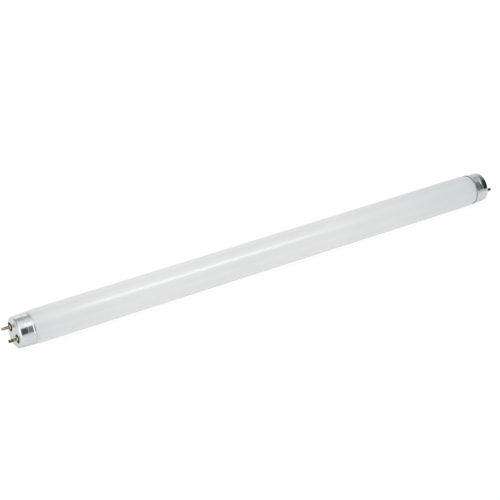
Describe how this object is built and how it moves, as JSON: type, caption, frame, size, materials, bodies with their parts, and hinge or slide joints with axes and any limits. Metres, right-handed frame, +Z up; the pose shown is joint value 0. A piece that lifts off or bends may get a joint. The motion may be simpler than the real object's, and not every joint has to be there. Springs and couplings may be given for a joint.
{
  "type": "insect killer lamp",
  "caption": "Straight ultraviolet tube for an insect killer: a sealed glass tube, white inside, with an aluminium pin cap on each end.",
  "frame": {"origin": "middle of the lamp, on its axis halfway between the faces of the two caps", "axes": "+X along the lamp towards its right end, +Y from the front pin to the rear pin of each end, +Z up"},
  "size_m": [0.4516, 0.026, 0.026],
  "materials": {
    "coated_glass": "smooth clear glass with an opaque white powder coat inside it",
    "cap_aluminium": "bright drawn sheet",
    "pin_brass": "plain brass, slightly tarnished",
    "disc_moulding": "dark brown moulding",
    "lead_wire": "plated wire",
    "basing_cement": "baked resin cement"
  },
  "bodies": {
    "root": {"glass_tube": "coated_glass", "left_cap_shell": "cap_aluminium", "left_insulator": "disc_moulding", "left_front_pin": "pin_brass", "left_rear_pin": "pin_brass", "left_front_lead_wire": "lead_wire", "left_rear_lead_wire": "lead_wire", "left_cement_ring": "basing_cement", "right_cap_shell": "cap_aluminium", "right_insulator": "disc_moulding", "right_front_pin": "pin_brass", "right_rear_pin": "pin_brass", "right_front_lead_wire": "lead_wire", "right_rear_lead_wire": "lead_wire", "right_cement_ring": "basing_cement"}
  },
  "joints": []
}
